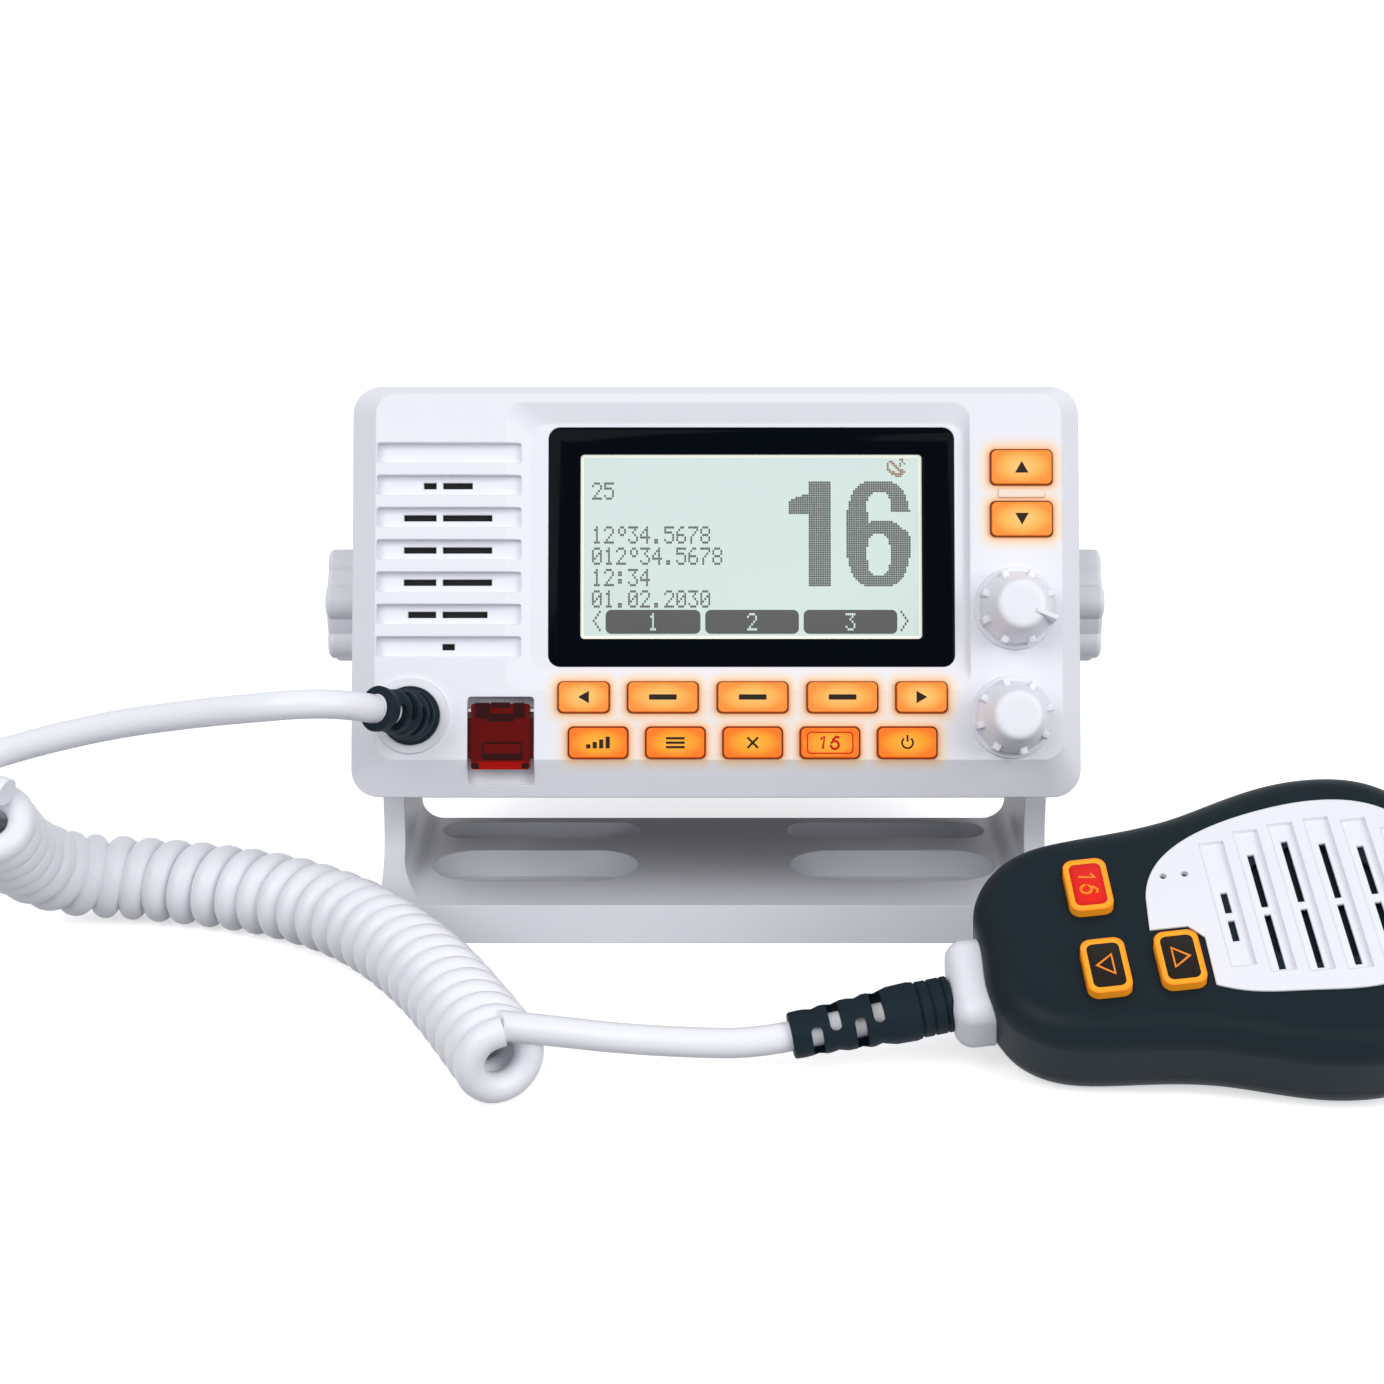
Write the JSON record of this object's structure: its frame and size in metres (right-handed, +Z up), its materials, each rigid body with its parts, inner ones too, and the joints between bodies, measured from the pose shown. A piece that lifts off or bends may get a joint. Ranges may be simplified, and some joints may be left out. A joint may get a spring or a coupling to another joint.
{
  "type": "vhf marine radio",
  "caption": "Fixed-mount VHF marine radio in white plastic, tilted back in a U-shaped gimbal bracket, with a curly cord to a black fist microphone lying in front.",
  "frame": {"origin": "centre of the bracket's footprint, on the surface that it stands on", "axes": "+Z up, +X to the user's right along the bracket, +Y away from the user"},
  "size_m": [0.3753, 0.232, 0.1419],
  "materials": {
    "white_plastic": "satin",
    "black_plastic": "satin",
    "black_rubber": "matte",
    "black_cast": "matte",
    "dark_window": "gloss",
    "display_glass": "gloss",
    "amber_plastic": "satin",
    "red_plastic": "satin",
    "circuit_board": "satin",
    "steel": "satin",
    "chrome": "polished",
    "black_cloth": "matte",
    "white_cord": "satin"
  },
  "bodies": {
    "root": {"gimbal_bracket": "white_plastic", "cord_coil": "white_cord", "cord_radio_lead": "white_cord", "cord_mic_lead": "white_cord"},
    "radio": {"front_bezel": "white_plastic", "clamp_washer_left": "black_rubber", "clamp_washer_right": "black_rubber", "cord_boot": "black_rubber", "front_gasket": "black_rubber", "power_gland": "black_rubber", "accessory_gland": "black_rubber", "display_window": "dark_window", "display_frame": "black_plastic", "speaker": "black_plastic", "speaker_cloth": "black_cloth", "rear_housing": "black_cast", "lcd_panel": "display_glass", "backlight": "amber_plastic", "key_board": "circuit_board", "main_board": "circuit_board", "encoder_volume": "steel", "encoder_channel": "steel", "cover_pin": "steel", "case_screws": "steel", "board_screws": "steel", "shield_can": "steel", "antenna_socket": "chrome"},
    "microphone": {"mic_front_shell": "black_plastic", "mic_face_plate": "white_plastic", "mic_back_shell": "black_plastic", "mic_seal": "black_rubber", "mic_speaker": "black_plastic", "mic_capsule": "steel", "mic_board": "circuit_board", "mic_screws": "steel", "hang_up_stud": "black_plastic", "cord_collar": "white_plastic", "mic_boot": "black_rubber"},
    "clamp_knob_left": {"clamp_knob_left": "white_plastic"},
    "clamp_knob_right": {"clamp_knob_right": "white_plastic"},
    "distress_cover": {"distress_cover": "red_plastic"},
    "distress_key": {"distress_key": "red_plastic"},
    "key_channel_16": {"key_channel_16": "amber_plastic"},
    "key_clear": {"key_clear": "amber_plastic"},
    "key_down": {"key_down": "amber_plastic"},
    "key_left": {"key_left": "amber_plastic"},
    "key_menu": {"key_menu": "amber_plastic"},
    "key_power": {"key_power": "amber_plastic"},
    "key_power_level": {"key_power_level": "amber_plastic"},
    "key_right": {"key_right": "amber_plastic"},
    "key_soft_1": {"key_soft_1": "amber_plastic"},
    "key_soft_2": {"key_soft_2": "amber_plastic"},
    "key_soft_3": {"key_soft_3": "amber_plastic"},
    "key_up": {"key_up": "amber_plastic"},
    "knob_channel": {"knob_channel": "white_plastic"},
    "knob_volume": {"knob_volume": "white_plastic"},
    "mic_key_channel": {"mic_key_channel": "amber_plastic"},
    "mic_key_down": {"mic_key_down": "amber_plastic"},
    "mic_key_up": {"mic_key_up": "amber_plastic"},
    "talk_key": {"talk_key": "black_plastic"}
  },
  "joints": [
    {"name": "tilt", "type": "hinge", "parent": "root", "child": "radio", "pos_m": [0, 0.012, 0.0785], "axis": [1, 0, 0], "range_deg": [-12, 23], "deforming": ["cord_radio_lead"]},
    {"name": "microphone_lift", "type": "slide", "parent": "root", "child": "microphone", "axis": [0, 0, 1], "range_m": [0, 0.15], "deforming": ["cord_mic_lead"]},
    {"name": "clamp_left", "type": "hinge", "parent": "radio", "child": "clamp_knob_left", "pos_m": [-0.09, 0.012, 0.0785], "axis": [1, 0, 0], "continuous": true},
    {"name": "clamp_right", "type": "hinge", "parent": "radio", "child": "clamp_knob_right", "pos_m": [0.09, 0.012, 0.0785], "axis": [1, 0, 0], "continuous": true},
    {"name": "volume", "type": "hinge", "parent": "radio", "child": "knob_volume", "pos_m": [0.0741, -0.04133, 0.0928], "axis": [0, 0.9397, -0.342], "range_deg": [-260, 40]},
    {"name": "channel", "type": "hinge", "parent": "radio", "child": "knob_channel", "pos_m": [0.0731, -0.05056, 0.06743], "axis": [0, 0.9397, -0.342], "continuous": true},
    {"name": "press_left", "type": "slide", "parent": "radio", "child": "key_left", "axis": [0, 0.9397, -0.342], "range_m": [0, 0.001], "stiffness_N_per_m": 1500, "springref_m": -0.0005},
    {"name": "press_right", "type": "slide", "parent": "radio", "child": "key_right", "axis": [0, 0.9397, -0.342], "range_m": [0, 0.001], "stiffness_N_per_m": 1500, "springref_m": -0.0005},
    {"name": "press_soft_1", "type": "slide", "parent": "radio", "child": "key_soft_1", "axis": [0, 0.9397, -0.342], "range_m": [0, 0.001], "stiffness_N_per_m": 1500, "springref_m": -0.0005},
    {"name": "press_soft_2", "type": "slide", "parent": "radio", "child": "key_soft_2", "axis": [0, 0.9397, -0.342], "range_m": [0, 0.001], "stiffness_N_per_m": 1500, "springref_m": -0.0005},
    {"name": "press_soft_3", "type": "slide", "parent": "radio", "child": "key_soft_3", "axis": [0, 0.9397, -0.342], "range_m": [0, 0.001], "stiffness_N_per_m": 1500, "springref_m": -0.0005},
    {"name": "press_power_level", "type": "slide", "parent": "radio", "child": "key_power_level", "axis": [0, 0.9397, -0.342], "range_m": [0, 0.001], "stiffness_N_per_m": 1500, "springref_m": -0.0005},
    {"name": "press_menu", "type": "slide", "parent": "radio", "child": "key_menu", "axis": [0, 0.9397, -0.342], "range_m": [0, 0.001], "stiffness_N_per_m": 1500, "springref_m": -0.0005},
    {"name": "press_clear", "type": "slide", "parent": "radio", "child": "key_clear", "axis": [0, 0.9397, -0.342], "range_m": [0, 0.001], "stiffness_N_per_m": 1500, "springref_m": -0.0005},
    {"name": "press_channel_16", "type": "slide", "parent": "radio", "child": "key_channel_16", "axis": [0, 0.9397, -0.342], "range_m": [0, 0.001], "stiffness_N_per_m": 1500, "springref_m": -0.0005},
    {"name": "press_power", "type": "slide", "parent": "radio", "child": "key_power", "axis": [0, 0.9397, -0.342], "range_m": [0, 0.001], "stiffness_N_per_m": 1500, "springref_m": -0.0005},
    {"name": "press_up", "type": "slide", "parent": "radio", "child": "key_up", "axis": [0, 0.9397, -0.342], "range_m": [0, 0.001], "stiffness_N_per_m": 1500, "springref_m": -0.0005},
    {"name": "press_down", "type": "slide", "parent": "radio", "child": "key_down", "axis": [0, 0.9397, -0.342], "range_m": [0, 0.001], "stiffness_N_per_m": 1500, "springref_m": -0.0005},
    {"name": "distress_lid", "type": "hinge", "parent": "radio", "child": "distress_cover", "pos_m": [-0.05335, -0.04346, 0.06676], "axis": [-1, 0, 0], "range_deg": [0, 105], "stiffness_Nm_per_rad": 0.002, "springref_deg": -17.19},
    {"name": "press_distress", "type": "slide", "parent": "radio", "child": "distress_key", "axis": [0, 0.9397, -0.342], "range_m": [0, 0.001], "stiffness_N_per_m": 1500, "springref_m": -0.0005},
    {"name": "talk", "type": "slide", "parent": "microphone", "child": "talk_key", "axis": [0.0711, -0.8697, -0.4884], "range_m": [0, 0.0018], "stiffness_N_per_m": 1200, "springref_m": -0.0005},
    {"name": "press_mic_key_channel", "type": "slide", "parent": "microphone", "child": "mic_key_channel", "axis": [0.0825, 0.4931, -0.866], "range_m": [0, 0.001], "stiffness_N_per_m": 1500, "springref_m": -0.0005},
    {"name": "press_mic_key_down", "type": "slide", "parent": "microphone", "child": "mic_key_down", "axis": [0.0825, 0.4931, -0.866], "range_m": [0, 0.001], "stiffness_N_per_m": 1500, "springref_m": -0.0005},
    {"name": "press_mic_key_up", "type": "slide", "parent": "microphone", "child": "mic_key_up", "axis": [0.0825, 0.4931, -0.866], "range_m": [0, 0.001], "stiffness_N_per_m": 1500, "springref_m": -0.0005}
  ]
}
